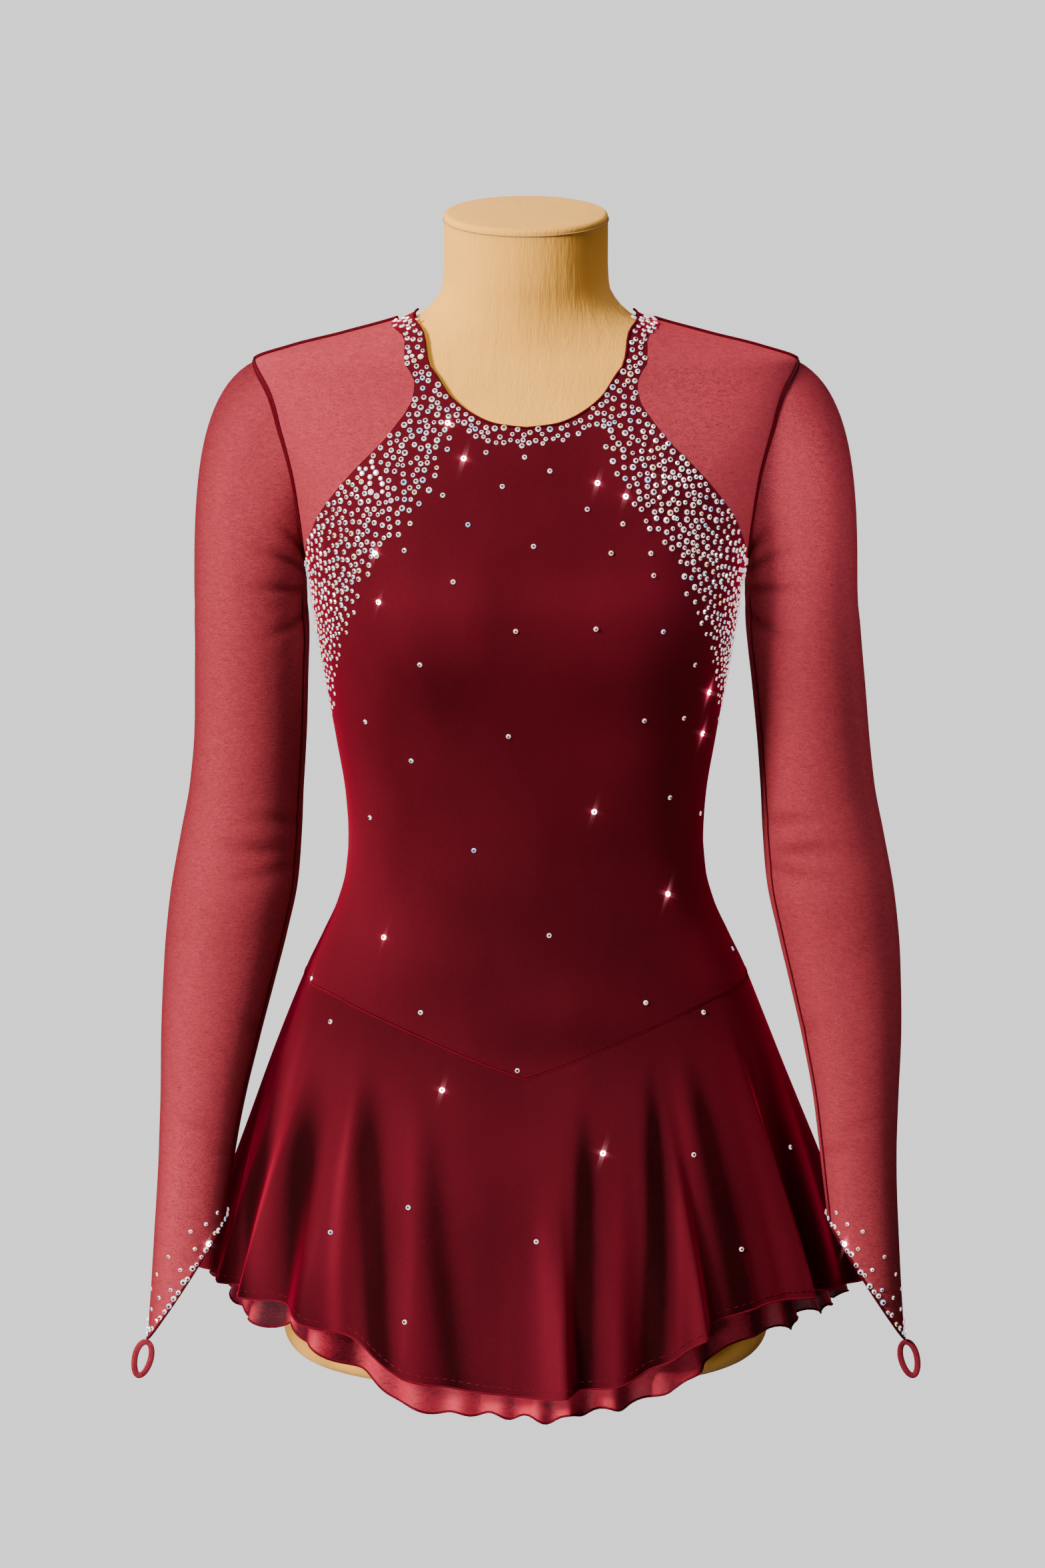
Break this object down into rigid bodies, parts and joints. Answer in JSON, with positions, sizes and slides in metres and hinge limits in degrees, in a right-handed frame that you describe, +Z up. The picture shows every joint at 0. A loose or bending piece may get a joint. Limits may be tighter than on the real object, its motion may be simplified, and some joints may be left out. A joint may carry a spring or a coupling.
{
  "type": "figure skating dress on a dress form",
  "caption": "Long-sleeved figure skating dress with a halter-shaped velvet body, mesh shoulders and sleeves and a short layered skirt, on a limbless dress form.",
  "frame": {"origin": "middle of the dress form's flat base, where it stands", "axes": "+Z up along the body, -Y the way the dress faces, +X to the right of the picture"},
  "size_m": [0.5594, 0.3485, 0.8322],
  "materials": {
    "form_jersey": "matt tan jersey",
    "bodice_velvet": "wine stretch velvet",
    "stretch_mesh": "wine stretch mesh over a light ground",
    "skirt_cloth": "soft opaque wine cloth",
    "skirt_sheer": "sheer wine cloth"
  },
  "bodies": {
    "root": {"dress_form": "form_jersey", "neck_cap": "form_jersey", "bodice_front": "bodice_velvet", "bodice_back": "bodice_velvet", "yoke_front_left": "stretch_mesh", "yoke_front_right": "stretch_mesh", "yoke_back_left": "stretch_mesh", "yoke_back_right": "stretch_mesh", "sleeve_left": "stretch_mesh", "sleeve_right": "stretch_mesh", "cuff_loop_left": "stretch_mesh", "cuff_loop_right": "stretch_mesh", "skirt_outer_front": "skirt_cloth", "skirt_outer_back": "skirt_cloth", "skirt_under_front": "skirt_sheer", "skirt_under_back": "skirt_sheer"}
  },
  "joints": []
}
